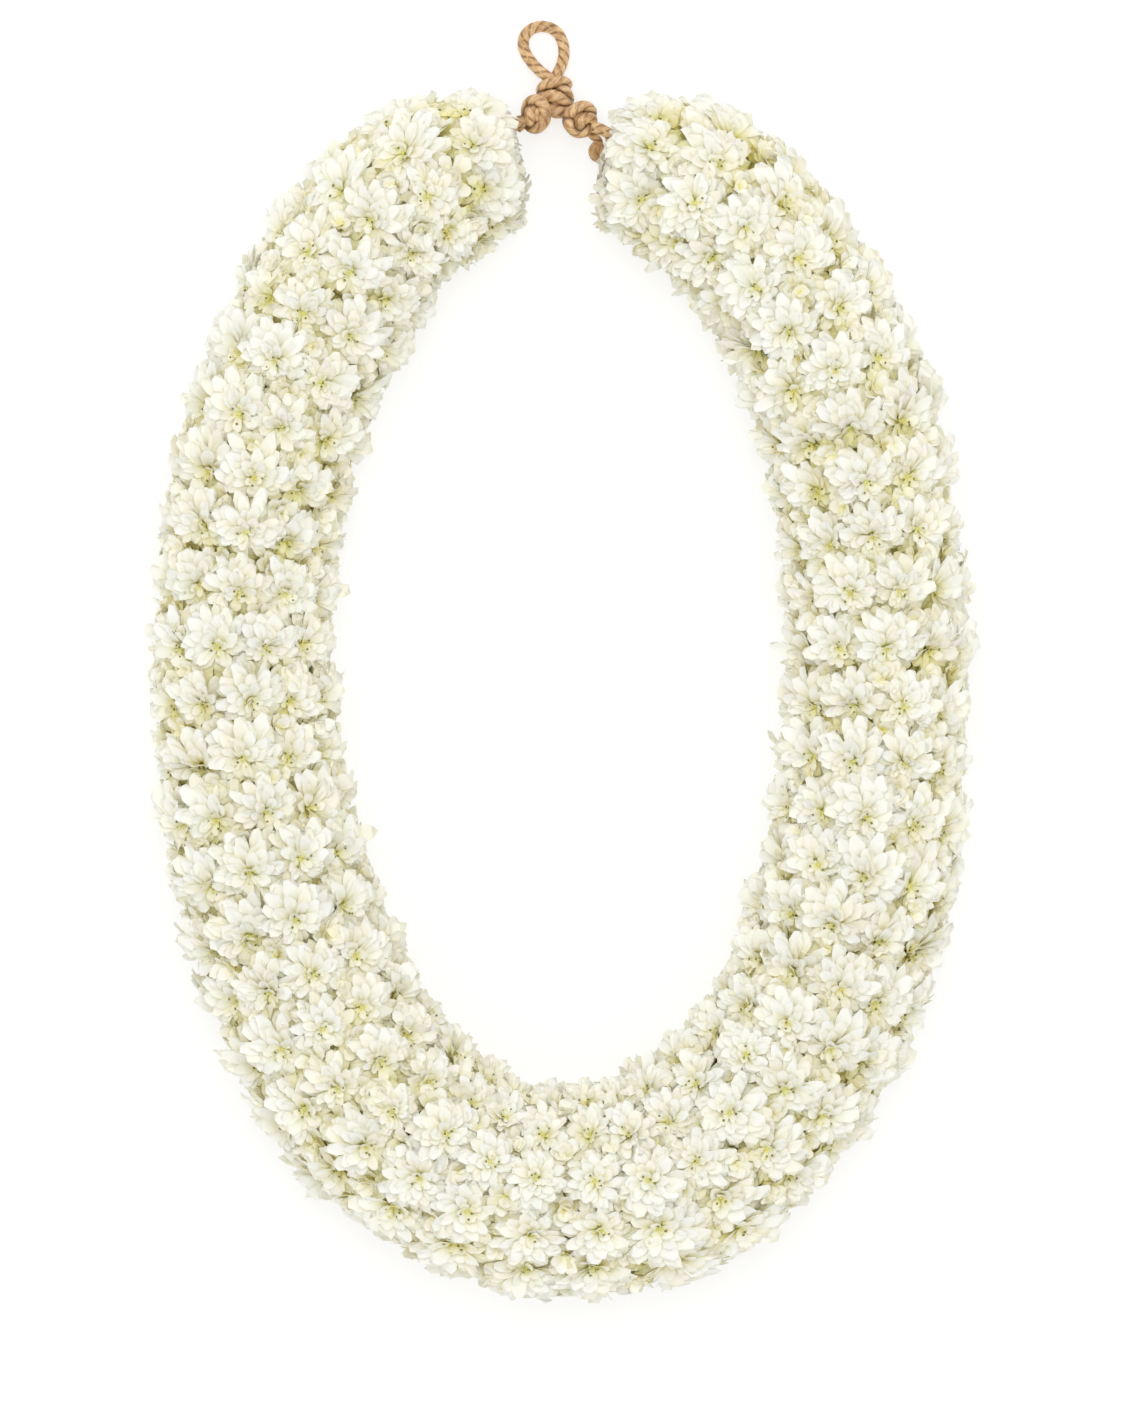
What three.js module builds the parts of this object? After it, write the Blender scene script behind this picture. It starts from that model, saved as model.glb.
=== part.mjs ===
// A fresh flower lei laid flat on its back: rings of small white double blooms threaded side
// by side on a waxed cord, whose two ends are knotted together under a hanging loop.
// Millimetres, +Z up. Seen from above the tie is at the top, towards +Y. The origin is the
// middle of the flowers' footprint, on the surface that the lei lies on.

import * as THREE from "three";

// The same draws every time, so that the blooms never change
const DRAW_SEED = 2026;
const DRAW_FACTOR = 16807;
const DRAW_MODULUS = 2147483647;

// The rope of flowers: its rings, its radius and the hole that the cord runs in
const RING_COUNT = 46;
const BLOOM_WIDTH = 24.5;
const RING_GAP = 0.3;
const SHOULDER_RADIUS = 36.5;
const FULLER_AT_BOTTOM = 7;
const END_RADIUS_SHARE = 0.68;
const END_TAPER_LENGTH = 30;
const FLATTENED_UNDERNEATH = 3.5;
const CORD_HOLE_RADIUS = 3.8;
const CORD_HOLE_SIDES = 5;
const VALLEY_SHARE = 0.74;
const END_FACE_SHARE = 0.5;

// The way the rope lies, from the tie down the left side and up the right side, and the number
// of short steps that its length is measured in
const ROUTE_STEPS = 960;
const ROPE_ROUTE = [
  [-22, 217], [-50, 209], [-79, 185], [-112, 123], [-128, 54],
  [-128, -18], [-114, -88], [-85, -154], [-31, -199],
  [38, -200], [91, -153], [119, -88], [129, -17],
  [128, 54], [114, 125], [80, 185], [51, 208], [24, 215],
];

// A bloom: a front and a back layer of petals round a dented centre, leaning up the rope
const BLOOM_SHIFT = 2.6;
const BLOOM_OVERHANG = 0.34;
const BLOOM_TILT = 0.16;
const PETALS_SHOWN = 8;
const PETALS_BELOW = 5;
const PETAL_REACH = 13.8;
const EDGE_MARGIN = 1.1;
const SIDE_MARGIN = 0.5;
const FRONT_PETAL = { depth: -0.4, reach: 0.9, halfWidth: 0.4 };
const BACK_PETAL = { depth: 3.2, reach: 1, halfWidth: 0.36 };
const CENTRE_DEPTH = 4.4;
const PRESSED_NOTCH = 0.58;
const PRESSED_DEPTH = 2.2;
const PRESSED_BELOW_COSINE = -0.55;
const UPRIGHT_ABOVE_COSINE = -0.1;
const SNAP_TO_SURFACE = 0.9;

// The cord, its knots and its loop
const CORD_RADIUS = 2.4;
const CORD_SIDES = 8;
const CORE_SIDES = 5;
const LEFT_STUB = [
  [-16.1, 233.7, 19.0], [-18.3, 231.3, 18.8], [-18.6, 227.0, 19.2],
  [-17.2, 223.6, 20.0], [-16.9, 220.4, 20.7], [-18.6, 217.9, 21.2],
];
const RIGHT_STUB = [
  [20.6, 215.9, 21.2], [18.9, 218.4, 20.8], [19.1, 221.8, 20.1],
  [19.8, 225.8, 19.2], [18.0, 229.2, 18.4], [14.3, 231.4, 17.8],
];
const LOOP_ROUTE = [
  [-6.0, 253.2, 7.4], [-8.0, 255.4, 6.6], [-10.6, 258.3, 5.4], [-12.8, 261.2, 4.2],
  [-14.3, 264.2, 3.3], [-14.9, 267.2, 2.7], [-13.8, 270.1, 2.5], [-11.2, 272.1, 2.5],
  [-8.0, 273.0, 2.5], [-4.6, 272.5, 2.5], [-1.6, 270.9, 2.5], [0.6, 268.2, 2.6],
  [1.7, 264.8, 3.1], [1.9, 261.2, 4.0], [1.5, 257.4, 5.5], [0.8, 253.4, 7.3],
];
const LEFT_TAIL_ROUTE = [[-13.7, 230.8, 15.0], [-14.9, 229.9, 14.0], [-16.0, 229.2, 12.9]];
const RIGHT_TAIL_ROUTE = [[11.2, 228.3, 12.6], [12.7, 226.9, 11.0], [13.9, 225.5, 9.5]];
const KNOT_SIDES = 9;
const KNOT_SQUASH = 0.85;
const WRAP_TILT = 0.22;
const CREASE_SHARE = 0.72;
const BAND_FOOT = 0.08;
const BAND_SHOULDER = 0.32;
const KNOTS = [
  {
    name: "main_knot",
    centre: [-1.8, 243.2, 6.9],
    axis: [0, 1, 0],
    wraps: 3,
    radius: 7.6,
    height: 15.6,
  },
  {
    name: "left_knot",
    centre: [-9.7, 236.4, 18.9],
    axis: [0.94, 0.34, 0],
    wraps: 2,
    radius: 7.6,
    height: 12,
  },
  {
    name: "right_knot",
    centre: [7.9, 235.0, 17.0],
    axis: [0.86, -0.5, 0],
    wraps: 2,
    radius: 7.2,
    height: 12.6,
  },
  {
    name: "tail_knot",
    centre: [14.4, 221.4, 7.2],
    axis: [-0.1, 0.95, 0.3],
    wraps: 1,
    radius: 2.9,
    height: 7.4,
  },
];

const petalWhite = new THREE.MeshStandardMaterial({
  color: 0xf4f3ea,
  roughness: 0.6,
  metalness: 0,
  flatShading: true,
});
const waxedCord = new THREE.MeshStandardMaterial({
  color: 0xb98a52,
  roughness: 0.5,
  metalness: 0,
});

const lei = new THREE.Group();

function addMesh(name, geometry, material) {
  const mesh = new THREE.Mesh(geometry, material);
  mesh.name = name;
  lei.add(mesh);
  return mesh;
}

// A number between 0 and 1
let drawState = DRAW_SEED;
function draw() {
  drawState = (drawState * DRAW_FACTOR) % DRAW_MODULUS;
  return drawState / DRAW_MODULUS;
}

const ropeCurve = new THREE.CatmullRomCurve3(
  ROPE_ROUTE.map(([x, y]) => new THREE.Vector3(x, y, 0)),
  false,
  "catmullrom",
  0.5,
);
ropeCurve.arcLengthDivisions = ROUTE_STEPS;
const ropeLength = ropeCurve.getLength();
const ringPitch = ropeLength / RING_COUNT;

// Radius over the petal tips, fullest at the bottom of the lei and drawn in beside the tie
function ropeRadius(along) {
  const fromEnd = Math.max(0, Math.min(along, ropeLength - along));
  const fullness = Math.sin((Math.PI * fromEnd) / ropeLength) ** 4;
  const taper = Math.max(0, 1 - fromEnd / END_TAPER_LENGTH) ** 2;
  return (
    (SHOULDER_RADIUS + FULLER_AT_BOTTOM * fullness) *
    (1 - (1 - END_RADIUS_SHARE) * taper)
  );
}

// The rope's middle, its direction and the direction across it, carried on straight past an end
function ropeFrame(along) {
  const inside = Math.min(Math.max(along, 0), ropeLength);
  const centre = ropeCurve.getPointAt(inside / ropeLength);
  const ahead = ropeCurve.getTangentAt(inside / ropeLength);
  centre.addScaledVector(ahead, along - inside);
  centre.z = ropeRadius(inside) - FLATTENED_UNDERNEATH;
  return { centre, ahead, across: new THREE.Vector3(-ahead.y, ahead.x, 0) };
}

// How freely a petal stands at an angle round the rope: 1 on top, 0 where it is pressed flat
function freedom(around) {
  return THREE.MathUtils.smoothstep(
    Math.cos(around),
    PRESSED_BELOW_COSINE,
    UPRIGHT_ABOVE_COSINE,
  );
}

// A point of the rope at an angle from straight up and a radius. Past the valleys between the
// rings the blooms lean up the lei, and what would reach below the surface is pressed flat.
function onRope(along, around, radius) {
  const lean = BLOOM_OVERHANG * ropeFrame(along).ahead.y * freedom(around);
  const proud = Math.max(0, radius - VALLEY_SHARE * ropeRadius(along));
  const { centre, across } = ropeFrame(along + lean * proud);
  const point = centre.addScaledVector(across, radius * Math.sin(around));
  point.z += radius * Math.cos(around);
  if (point.z < SNAP_TO_SURFACE) point.z = 0;
  return point;
}

// Triangles between two loops of points, both in order of their angle round one middle.
// Each point is joined to the nearest ones of the other loop.
function stitch(inner, outer) {
  const angleAt = (loop, k) =>
    loop[k % loop.length].angle + 2 * Math.PI * Math.floor(k / loop.length);
  const halfway = (loop, k) => angleAt(loop, k) + angleAt(loop, k + 1);
  const triangles = [];
  let i = 0;
  let j = 0;
  while (i < inner.length || j < outer.length) {
    const innerMoves =
      j === outer.length ||
      (i < inner.length && halfway(inner, i) <= halfway(outer, j));
    const next = innerMoves
      ? inner[(i + 1) % inner.length]
      : outer[(j + 1) % outer.length];
    triangles.push([
      inner[i % inner.length].index,
      outer[j % outer.length].index,
      next.index,
    ]);
    if (innerMoves) i += 1;
    else j += 1;
  }
  return triangles;
}

function wrapAngle(angle) {
  return THREE.MathUtils.euclideanModulo(angle, 2 * Math.PI);
}

function byAngle(a, b) {
  return a.angle - b.angle;
}

// One ring of blooms threaded on the cord, as one body: a cord hole in the middle, flat sides
// against the next rings, and on the outside a star of petals for each bloom.
function ringGeometry(ring) {
  const start = ring * ringPitch + RING_GAP / 2;
  const end = (ring + 1) * ringPitch - RING_GAP / 2;
  const middle = (start + end) / 2;
  const upward = ropeFrame(middle).ahead.y;
  const bloomCount = Math.round((2 * Math.PI * ropeRadius(middle)) / BLOOM_WIDTH);
  const bloomAngle = (2 * Math.PI) / bloomCount;
  const firstAngle = draw() * bloomAngle;
  const points = [];
  const triangles = [];
  const add = (along, around, radius) =>
    points.push(onRope(along, around, radius)) - 1;

  // The hole and the valley line on each flat side, in order of angle round the cord
  const sides = [start, end].map((along) => {
    const isEnd = along < ringPitch / 2 || along > ropeLength - ringPitch / 2;
    const share = isEnd ? END_FACE_SHARE : VALLEY_SHARE;
    const hole = [];
    for (let k = 0; k < CORD_HOLE_SIDES; k += 1) {
      const angle = firstAngle + (2 * Math.PI * k) / CORD_HOLE_SIDES;
      hole.push({ angle, index: add(along, angle, CORD_HOLE_RADIUS) });
    }
    const valley = [];
    for (let k = 0; k < bloomCount; k += 1) {
      const angle = firstAngle + bloomAngle * k;
      valley.push({ angle, index: add(along, angle, share * ropeRadius(along)) });
    }
    return { hole, valley };
  });
  const [near, far] = sides;
  triangles.push(...stitch(near.hole, near.valley));
  for (const [a, b, c] of stitch(far.hole, far.valley)) triangles.push([a, c, b]);
  near.hole.forEach(({ index }, k) => {
    const nextNear = near.hole[(k + 1) % CORD_HOLE_SIDES].index;
    const nextFar = far.hole[(k + 1) % CORD_HOLE_SIDES].index;
    triangles.push([index, nextNear, nextFar], [index, nextFar, far.hole[k].index]);
  });

  for (let bloom = 0; bloom < bloomCount; bloom += 1) {
    const around = firstAngle + bloomAngle * (bloom + 0.5);
    const free = freedom(around);
    const pressed = free === 0;
    const centreAlong = middle - BLOOM_SHIFT * upward * free;
    const radius = ropeRadius(centreAlong);
    const halfWidth = (radius * bloomAngle) / 2 - SIDE_MARGIN;
    const reach = (angle) => {
      const room = Math.cos(angle) > 0 ? end - centreAlong : centreAlong - start;
      return Math.min(
        PETAL_REACH,
        (room - EDGE_MARGIN) / Math.abs(Math.cos(angle)),
        halfWidth / Math.abs(Math.sin(angle)),
      );
    };
    const place = (angle, length, depth) => {
      const offset = length * Math.cos(angle);
      return add(
        centreAlong + offset,
        around + (length * Math.sin(angle)) / radius,
        radius - depth + BLOOM_TILT * upward * free * offset,
      );
    };
    const petals = pressed ? PETALS_BELOW : PETALS_SHOWN;
    const petalAngle = (2 * Math.PI) / petals;
    const twist = draw() * petalAngle;
    const outline = [];
    const edge = (angle, share, depth) =>
      outline.push({
        angle: wrapAngle(angle),
        index: place(angle, share * reach(angle), depth),
      });
    for (let petal = 0; petal < petals; petal += 1) {
      const tip = twist + petalAngle * petal;
      if (pressed) {
        edge(tip, 1, PRESSED_DEPTH);
        edge(tip + petalAngle / 2, PRESSED_NOTCH, PRESSED_DEPTH);
      } else {
        const layer = petal % 2 === 0 ? FRONT_PETAL : BACK_PETAL;
        edge(tip - layer.halfWidth * petalAngle, layer.reach, layer.depth);
        edge(tip + layer.halfWidth * petalAngle, layer.reach, layer.depth);
      }
    }
    outline.sort(byAngle);
    const heart = place(0, 0, pressed ? PRESSED_DEPTH : CENTRE_DEPTH);
    outline.forEach(({ index }, k) => {
      triangles.push([heart, index, outline[(k + 1) % outline.length].index]);
    });
    const next = (bloom + 1) % bloomCount;
    const across = (radius * bloomAngle) / 2;
    const corners = [
      { angle: Math.atan2(-across, start - centreAlong), index: near.valley[bloom].index },
      { angle: Math.atan2(-across, end - centreAlong), index: far.valley[bloom].index },
      { angle: Math.atan2(across, end - centreAlong), index: far.valley[next].index },
      { angle: Math.atan2(across, start - centreAlong), index: near.valley[next].index },
    ];
    for (const corner of corners) corner.angle = wrapAngle(corner.angle);
    triangles.push(...stitch(outline, corners.sort(byAngle)));
  }

  const geometry = new THREE.BufferGeometry().setFromPoints(points);
  geometry.setIndex(triangles.flat());
  return geometry;
}

for (let ring = 0; ring < RING_COUNT; ring += 1) {
  const name = "bloom_ring_" + String(ring + 1).padStart(2, "0");
  addMesh(name, ringGeometry(ring), petalWhite);
}

function vectors(route) {
  return route.map((point) => new THREE.Vector3(...point));
}

// A smooth curve that is cut into sections exactly at its points
class CordCurve extends THREE.CatmullRomCurve3 {
  constructor(points) {
    super(points, false, "catmullrom", 0.5);
  }

  getPointAt(share) {
    return this.getPoint(share);
  }

  getTangentAt(share) {
    return this.getTangent(share);
  }
}

// A cord along a curve through the points, with closed ends
function cordGeometry(points, sides) {
  const section = new THREE.Shape();
  for (let k = 0; k < sides; k += 1) {
    const angle = (2 * Math.PI * k) / sides;
    const x = CORD_RADIUS * Math.cos(angle);
    const y = CORD_RADIUS * Math.sin(angle);
    if (k === 0) section.moveTo(x, y);
    else section.lineTo(x, y);
  }
  section.closePath();
  return new THREE.ExtrudeGeometry(section, {
    steps: points.length - 1,
    extrudePath: new CordCurve(points),
  });
}

// The stringing cord, through every ring and out at both ends to the side knots
const ringEdges = Array.from(
  { length: RING_COUNT + 1 },
  (_, edge) => ropeFrame(edge * ringPitch).centre,
);
const coreRoute = [...vectors(LEFT_STUB), ...ringEdges, ...vectors(RIGHT_STUB)];
addMesh("core_cord", cordGeometry(coreRoute, CORE_SIDES), waxedCord);

// A knot of cord wrapped round itself: one rounded band for each wrap, with a crease between
// two bands, along a given axis
function knotGeometry({ centre, axis, wraps, radius, height }) {
  const band = height / wraps;
  const profile = [new THREE.Vector2(0, -height / 2)];
  for (let wrap = 0; wrap < wraps; wrap += 1) {
    const low = wrap * band - height / 2;
    profile.push(new THREE.Vector2(radius * CREASE_SHARE, low + band * BAND_FOOT));
    profile.push(new THREE.Vector2(radius, low + band * BAND_SHOULDER));
    profile.push(new THREE.Vector2(radius, low + band * (1 - BAND_SHOULDER)));
  }
  profile.push(new THREE.Vector2(radius * CREASE_SHARE, height / 2 - band * BAND_FOOT));
  profile.push(new THREE.Vector2(0, height / 2));
  const geometry = new THREE.LatheGeometry(profile, KNOT_SIDES);
  geometry.applyMatrix4(new THREE.Matrix4().makeShear(WRAP_TILT, 0, 0, 0, 0, 0));
  const turn = new THREE.Quaternion().setFromUnitVectors(
    new THREE.Vector3(0, 1, 0),
    new THREE.Vector3(...axis).normalize(),
  );
  geometry.applyQuaternion(turn);
  geometry.scale(1, 1, KNOT_SQUASH);
  geometry.translate(...centre);
  return geometry;
}

for (const knot of KNOTS) addMesh(knot.name, knotGeometry(knot), waxedCord);

// The loop above the main knot, and the short cord ends below the side knots
addMesh("hanging_loop", cordGeometry(vectors(LOOP_ROUTE), CORD_SIDES), waxedCord);
addMesh("left_tail", cordGeometry(vectors(LEFT_TAIL_ROUTE), CORD_SIDES), waxedCord);
addMesh("right_tail", cordGeometry(vectors(RIGHT_TAIL_ROUTE), CORD_SIDES), waxedCord);

export default lei;
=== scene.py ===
import bpy
import numpy as np
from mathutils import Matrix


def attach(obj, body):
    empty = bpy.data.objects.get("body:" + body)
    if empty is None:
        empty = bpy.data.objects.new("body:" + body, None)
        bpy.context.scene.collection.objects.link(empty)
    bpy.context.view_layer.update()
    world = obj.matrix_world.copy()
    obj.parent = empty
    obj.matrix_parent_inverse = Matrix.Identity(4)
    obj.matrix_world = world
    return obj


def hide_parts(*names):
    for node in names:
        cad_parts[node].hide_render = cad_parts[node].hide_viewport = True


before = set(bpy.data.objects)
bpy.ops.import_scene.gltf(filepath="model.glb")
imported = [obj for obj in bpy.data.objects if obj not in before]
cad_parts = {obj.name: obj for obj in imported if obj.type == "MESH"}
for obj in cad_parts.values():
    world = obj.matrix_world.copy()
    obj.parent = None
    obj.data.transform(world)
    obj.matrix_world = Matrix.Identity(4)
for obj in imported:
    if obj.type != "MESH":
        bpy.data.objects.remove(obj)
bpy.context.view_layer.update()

# The camera hangs straight over the lei, far above it, so that the rings are seen nearly without
# perspective. What it takes in is measured in millimetres at about half the flowers' height.
MM = 0.001
VIEW_MIDDLE = (0.6, -3.9)
VIEW_HEIGHT = 574.8
VIEW_LEVEL = 38.0
CAMERA_LEVEL = 6000.0


def into_scene(name, data):
    """A new object for a camera, mesh or lamp, at the origin and linked into the scene."""
    thing = bpy.data.objects.new(name, data)
    bpy.context.scene.collection.objects.link(thing)
    return thing


camera_data = bpy.data.cameras.new("camera_above")
camera_data.sensor_width = 36.0
camera_data.lens = camera_data.sensor_width * (CAMERA_LEVEL - VIEW_LEVEL) / VIEW_HEIGHT
camera_data.clip_start = 0.1
camera_data.clip_end = 20.0
camera = into_scene("camera_above", camera_data)
camera.location = (VIEW_MIDDLE[0] * MM, VIEW_MIDDLE[1] * MM, CAMERA_LEVEL * MM)
bpy.context.scene.camera = camera


# The hanging loop is one bight of a laid cotton cord, three strands twisted together and drawn
# through wax. Both its legs go into the top of the main knot, and its bow lies on the table.
UPWARD = np.array([0.0, 0.0, 1.0])
CORD_RADIUS = 2.4
STRANDS = 3
LAY_LENGTH = 13.0
CREASE_DEPTH = 0.13
CREASE_SPREAD = 0.24
CORD_SIDES = 24
CORD_STEP = 0.55
FINE_STEPS = 40
CAP_WIDTH = 0.72
CAP_PROUD = 0.22
CAP_MIDDLE_PROUD = 0.3
INTO_KNOT = 2.2
LOOP_ROUTE = (
    (-5.4, 253.6, 7.4), (-7.9, 255.6, 6.6), (-10.6, 258.3, 5.4), (-12.8, 261.2, 4.2),
    (-14.5, 264.4, 3.3), (-15.0, 268.0, 2.7), (-13.8, 271.2, 2.5), (-11.2, 273.4, 2.5),
    (-8.0, 274.3, 2.5), (-4.6, 273.9, 2.5), (-1.4, 272.2, 2.5), (0.8, 269.0, 2.6),
    (1.8, 264.8, 3.1), (1.6, 261.2, 4.0), (0.5, 257.4, 5.5), (-1.2, 254.0, 7.3),
)


def through_points(points, shares):
    """A smooth curve through points: on each stretch a cubic that leaves a point along half the
    way from the point before it to the point after it. shares run from 0 to 1 over all points."""
    points = np.asarray(points, float)
    ends = np.vstack([2 * points[:1] - points[1:2], points, 2 * points[-1:] - points[-2:-1]])
    place = np.asarray(shares) * (len(points) - 1)
    first = np.clip(np.floor(place).astype(int), 0, len(points) - 2)
    w = (place - first)[..., None]
    before, start, end, after = (ends[first + k] for k in range(4))
    leave = 0.5 * (end - before)
    arrive = 0.5 * (after - start)
    square = -3 * start + 3 * end - 2 * leave - arrive
    cube = 2 * start - 2 * end + leave + arrive
    return start + leave * w + square * w**2 + cube * w**3


def way_along(points):
    """How far each point lies from the first, along the straight lines between them."""
    return np.concatenate([[0], np.cumsum(np.linalg.norm(np.diff(points, axis=0), axis=1))])


def even_steps(fine, step, rounded):
    """Points on a finely drawn curve, from its first to its last, in equal steps along it. The
    number of steps is the curve's length over the wanted step, rounded, and two at least."""
    run = way_along(fine)
    places = np.linspace(0, run[-1], max(2, int(rounded(run[-1] / step))) + 1)
    return np.stack([np.interp(places, run, fine[:, k]) for k in range(3)], 1)


def even_path(points, step):
    """The smooth curve through points, as a row of points one step apart or a little less."""
    fine = through_points(points, np.linspace(0, 1, FINE_STEPS * len(points)))
    return even_steps(fine, step, np.ceil)


def closed_path(points, step):
    """The same for a curve that runs on from its last point to its first."""
    points = np.asarray(points, float)
    count = len(points)
    wound = np.vstack([points[-1:], points, points[:2]])
    shares = np.linspace(1, count + 1, FINE_STEPS * count + 1) / (count + 2)
    return even_steps(through_points(wound, shares), step, np.round)[:-1]


def unit(vectors):
    """The same directions, each one long."""
    return vectors / np.linalg.norm(vectors, axis=-1, keepdims=True)


def laid_cord(path, facing, radius, sides=CORD_SIDES, lay=LAY_LENGTH, closed=False,
              groove_depth=CREASE_DEPTH):
    """The skin of a cord, with a row of points for each point of its path. The radius is that of
    the cord, less a groove between each two strands that is a bell curve across, and the grooves
    turn once for each lay length. facing is the direction in which the rows start, one for the
    whole path or one for each of its points."""
    path = np.asarray(path, float)
    ahead = np.roll(path, -1, 0) - np.roll(path, 1, 0) if closed else np.gradient(path, axis=0)
    ahead = unit(ahead)
    out = unit(facing - ahead * np.sum(facing * ahead, 1, keepdims=True))
    beside = np.cross(ahead, out)
    run = way_along(path)
    if closed:
        whole = run[-1] + np.linalg.norm(path[0] - path[-1])
        turns = max(1, round(whole / lay * STRANDS)) / STRANDS
        lay = whole / turns
    around = np.arange(sides) / sides
    turn = around[None, :] + run[:, None] / lay
    off_middle = np.abs((turn * STRANDS) % 1 - 0.5) * 2
    groove = np.exp(-(((1 - off_middle) / CREASE_SPREAD) ** 2))
    reach = np.broadcast_to(np.asarray(radius, float), run.shape)[:, None] * (1 - groove_depth * groove)
    angle = 2 * np.pi * around[None, :, None]
    rows = path[:, None] + reach[..., None] * (
        np.cos(angle) * out[:, None] + np.sin(angle) * beside[:, None]
    )
    return skin_of_rows(rows, turn, np.broadcast_to(run[:, None], turn.shape), closed)


def skin_of_rows(rows, turn, run, closed):
    """Points, faces and strand values of a tube through the rows: how often a point has turned with the
    strands, the way along in millimetres, and no painted crease shade yet. An open tube is closed at each
    end by a smaller row and a middle point that stand a little proud of its last row."""
    if not closed:
        caps = []
        for last, before in ((0, 1), (-1, -2)):
            middle = rows[last].mean(0)
            proud = unit(middle - rows[before].mean(0)) * np.linalg.norm(rows[last, 0] - middle)
            edge = middle + (rows[last] - middle) * CAP_WIDTH + proud * CAP_PROUD
            caps.append((edge, middle + proud * CAP_MIDDLE_PROUD))
        rows = np.concatenate([caps[0][0][None], rows, caps[1][0][None]])
        turn = np.concatenate([turn[:1], turn, turn[-1:]])
        run = np.concatenate([run[:1], run, run[-1:]])
    count, sides = rows.shape[:2]
    number = np.arange(count * sides).reshape(count, sides)
    here = number if closed else number[:-1]
    there = np.roll(number, -1, 0) if closed else number[1:]
    quads = np.stack([here, np.roll(here, -1, 1), np.roll(there, -1, 1), there], -1).reshape(-1, 4)
    points = rows.reshape(-1, 3)
    strand = np.stack([turn.reshape(-1), run.reshape(-1), np.zeros(turn.size)], 1)
    faces = quads.tolist()
    if not closed:
        points = np.vstack([points, caps[0][1], caps[1][1]])
        strand = np.vstack([strand, [strand[0], strand[-1]]])
        first, last = len(points) - 2, len(points) - 1
        ring = number[0]
        faces += np.stack([np.roll(ring, -1), ring, np.full(sides, first)], 1).tolist()
        ring = number[-1]
        faces += np.stack([ring, np.roll(ring, -1), np.full(sides, last)], 1).tolist()
    return points, faces, strand


def keep_on_points(mesh, **values):
    """Keeps one number for each point of a mesh under each name, for its material to read."""
    for name, value in values.items():
        kept = mesh.attributes.new(name, "FLOAT", "POINT")
        kept.data.foreach_set("value", value.astype(np.float32))


def cord_piece(name, node, skins, material):
    """One object of one or more skins, in place of a node of the solids, with the strand values
    kept on its points."""
    points = np.vstack([skin[0] for skin in skins]) * MM
    strand = np.vstack([skin[2] for skin in skins])
    faces = []
    shift = 0
    for skin in skins:
        faces += [[shift + k for k in face] for face in skin[1]]
        shift += len(skin[0])
    mesh = bpy.data.meshes.new(name)
    mesh.from_pydata(points.tolist(), [], faces)
    mesh.polygons.foreach_set("use_smooth", np.ones(len(mesh.polygons), bool))
    keep_on_points(mesh, strand_turn=strand[:, 0], strand_run=strand[:, 1], cord_crease=strand[:, 2])
    mesh.materials.append(material)
    mesh.update()
    piece = into_scene(name, mesh)
    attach(piece, "root")
    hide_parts(node)
    return piece


def new_node(tree, kind, inlets, **settings):
    """A node of that kind with its settings. Each inlet, by its name or number, gets the outlet of
    another node, or else a fixed value of its own."""
    node = tree.nodes.new(kind)
    for key, value in settings.items():
        setattr(node, key, value)
    for key, value in inlets.items():
        if isinstance(value, bpy.types.NodeSocket):
            tree.links.new(value, node.inputs[key])
        else:
            node.inputs[key].default_value = value
    return node


def bare_material(name):
    """A new material without nodes, and the tree that its nodes go into."""
    material = bpy.data.materials.new(name)
    material.use_nodes = True
    material.node_tree.nodes.clear()
    return material, material.node_tree


def shade(tree, inlets):
    """The shader of a material and what its inlets get."""
    shader = new_node(tree, "ShaderNodeBsdfPrincipled", inlets)
    new_node(tree, "ShaderNodeOutputMaterial", {0: shader.outputs[0]})


def kept_value(tree, name):
    """A number that the piece keeps on its points."""
    return new_node(tree, "ShaderNodeAttribute", {}, attribute_name=name).outputs["Fac"]


def calculated(tree, operation, first, second=0.0):
    """The result of a calculation with one or two outlets or numbers."""
    return new_node(tree, "ShaderNodeMath", {0: first, 1: second}, operation=operation).outputs[0]


def noise(tree, scale, detail, roughness=0.5, place=None):
    """A cloudy pattern from 0 to 1, read at a place, or else where the point lies in its piece."""
    if place is None:
        place = tree.nodes.new("ShaderNodeTexCoord").outputs["Object"]
    inlets = {"Vector": place, "Scale": scale, "Detail": detail, "Roughness": roughness}
    return new_node(tree, "ShaderNodeTexNoise", inlets).outputs["Fac"]


def colour_ramp(tree, value, stops):
    """The colour at a value, evenly mixed between stops that are each a value and a colour."""
    node = new_node(tree, "ShaderNodeValToRGB", {0: value})
    elements = node.color_ramp.elements
    while len(elements) < len(stops):
        elements.new(0.5)
    for element, (place, colour) in zip(elements, stops):
        element.position = place
        element.color = (*colour, 1)
    return node.outputs[0]


def tinted(tree, share, colour, tint):
    """A colour multiplied by a tint, wholly where the share is one and not where it is nought."""
    inlets = {0: share, 6: colour, 7: tint}
    return new_node(tree, "ShaderNodeMix", inlets, data_type="RGBA", blend_type="MULTIPLY").outputs[2]


def bumped(tree, height, strength):
    """The way the surface faces where a pattern raises it by less than a third of a millimetre."""
    inlets = {"Height": height, "Strength": strength, "Distance": 0.3 * MM}
    return new_node(tree, "ShaderNodeBump", inlets).outputs[0]


FIBRES_ROUND = 9.0
FIBRES_ALONG = 0.09
PATCHES_SHARE = 0.55
# Painted shade in the grooves between strands grows between these two places across a strand.
GROOVE_SHADE_FROM = 0.22
GROOVE_SHADE_TO = 0.49
# Colour of the painted contact shade, with some dirt, where turns of cord lie against each other.
CREASE_SHADE_AND_DIRT_COLOUR = (0.22, 0.145, 0.085, 1)


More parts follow.
